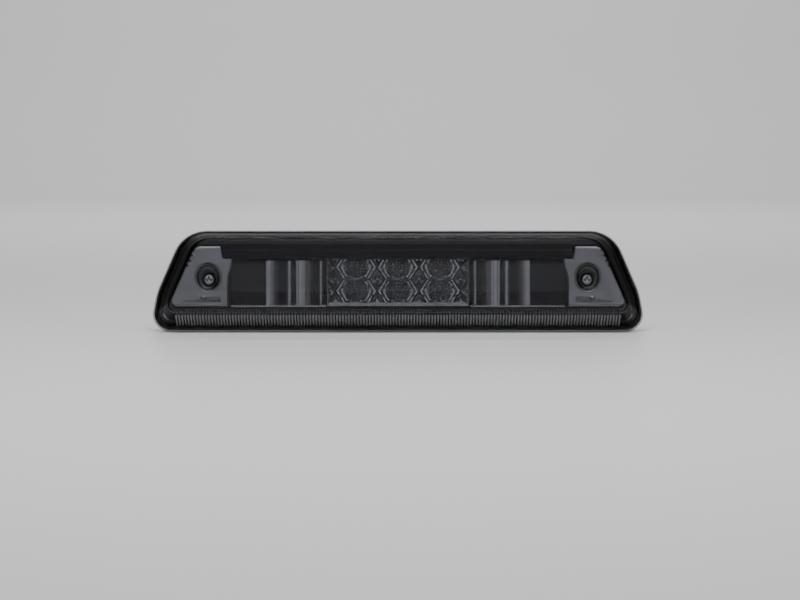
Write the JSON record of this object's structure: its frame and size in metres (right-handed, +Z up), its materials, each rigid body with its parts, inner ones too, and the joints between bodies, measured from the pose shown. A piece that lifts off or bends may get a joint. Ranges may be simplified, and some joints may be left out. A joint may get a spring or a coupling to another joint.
{
  "type": "third brake light",
  "caption": "Wide smoked-lens high-level brake lamp with a crystal-cell stop section, fluted cargo lamps and screw wells at both ends, for the back of a pickup cab.",
  "frame": {"origin": "middle of the plane where the gasket and the screw sleeves meet the cab, halfway up the lamp", "axes": "+X along the lamp to the viewer's right, +Y from the lens into the cab, +Z up"},
  "size_m": [0.3892, 0.052, 0.08],
  "materials": {
    "smoked_lens": "smoked clear acrylic, gloss, reeded along the bevels",
    "visor_black": "satin black moulding",
    "housing_black": "black ABS with a fine moulded texture",
    "mirror_coat": "vacuum metallised plastic, bright",
    "satin_coat": "vacuum metallised plastic, satin",
    "clear_acrylic": "clear moulded acrylic, pebbled",
    "red_led": "water-clear LED in a white package",
    "white_led": "phosphor-coated white LED",
    "circuit_board": "solder mask on glass-epoxy board",
    "steel": "zinc-plated steel",
    "rubber": "matt black rubber",
    "foam": "closed-cell foam",
    "ceramic_body": "cement-filled resistor body",
    "component_black": "moulded component body",
    "lead_sheath": "PVC sheath",
    "pin_brass": "tinned brass"
  },
  "bodies": {
    "lamp": {"lens": "smoked_lens", "lens_seal": "rubber", "housing": "housing_black", "cab_gasket": "foam", "visor": "visor_black", "brake_reflector": "mirror_coat", "brake_led_board": "circuit_board", "driver_board": "circuit_board", "brake_lead": "lead_sheath", "brake_resistor": "ceramic_body", "cargo_resistor": "ceramic_body", "polarity_diode": "component_black", "connector_header": "housing_black", "brake_optic_1": "clear_acrylic", "brake_led_1": "red_led", "brake_optic_2": "clear_acrylic", "brake_led_2": "red_led", "brake_optic_3": "clear_acrylic", "brake_led_3": "red_led", "brake_optic_4": "clear_acrylic", "brake_led_4": "red_led", "brake_optic_5": "clear_acrylic", "brake_led_5": "red_led", "brake_optic_6": "clear_acrylic", "brake_led_6": "red_led", "left_led_board_screw": "steel", "left_driver_board_screw": "steel", "left_end_panel": "satin_coat", "left_cargo_reflector": "mirror_coat", "left_cargo_board": "circuit_board", "left_cargo_lead": "lead_sheath", "left_breather_vent": "rubber", "left_compression_sleeve": "steel", "left_cargo_led_1": "white_led", "left_cargo_led_2": "white_led", "left_cargo_led_3": "white_led", "right_led_board_screw": "steel", "right_driver_board_screw": "steel", "right_end_panel": "satin_coat", "right_cargo_reflector": "mirror_coat", "right_cargo_board": "circuit_board", "right_cargo_lead": "lead_sheath", "right_breather_vent": "rubber", "right_compression_sleeve": "steel", "right_cargo_led_1": "white_led", "right_cargo_led_2": "white_led", "right_cargo_led_3": "white_led", "header_pin_1": "pin_brass", "header_pin_2": "pin_brass", "header_pin_3": "pin_brass", "header_pin_4": "pin_brass"},
    "left_screw": {"left_mounting_screw": "steel", "left_screw_washer": "rubber"},
    "right_screw": {"right_mounting_screw": "steel", "right_screw_washer": "rubber"}
  },
  "joints": [
    {"name": "left_screw_turn", "type": "hinge", "parent": "lamp", "child": "left_screw", "pos_m": [-0.1494, 0, 0.0018], "axis": [0, 1, 0], "continuous": true},
    {"name": "right_screw_turn", "type": "hinge", "parent": "lamp", "child": "right_screw", "pos_m": [0.1494, 0, 0.0018], "axis": [0, 1, 0], "continuous": true}
  ]
}
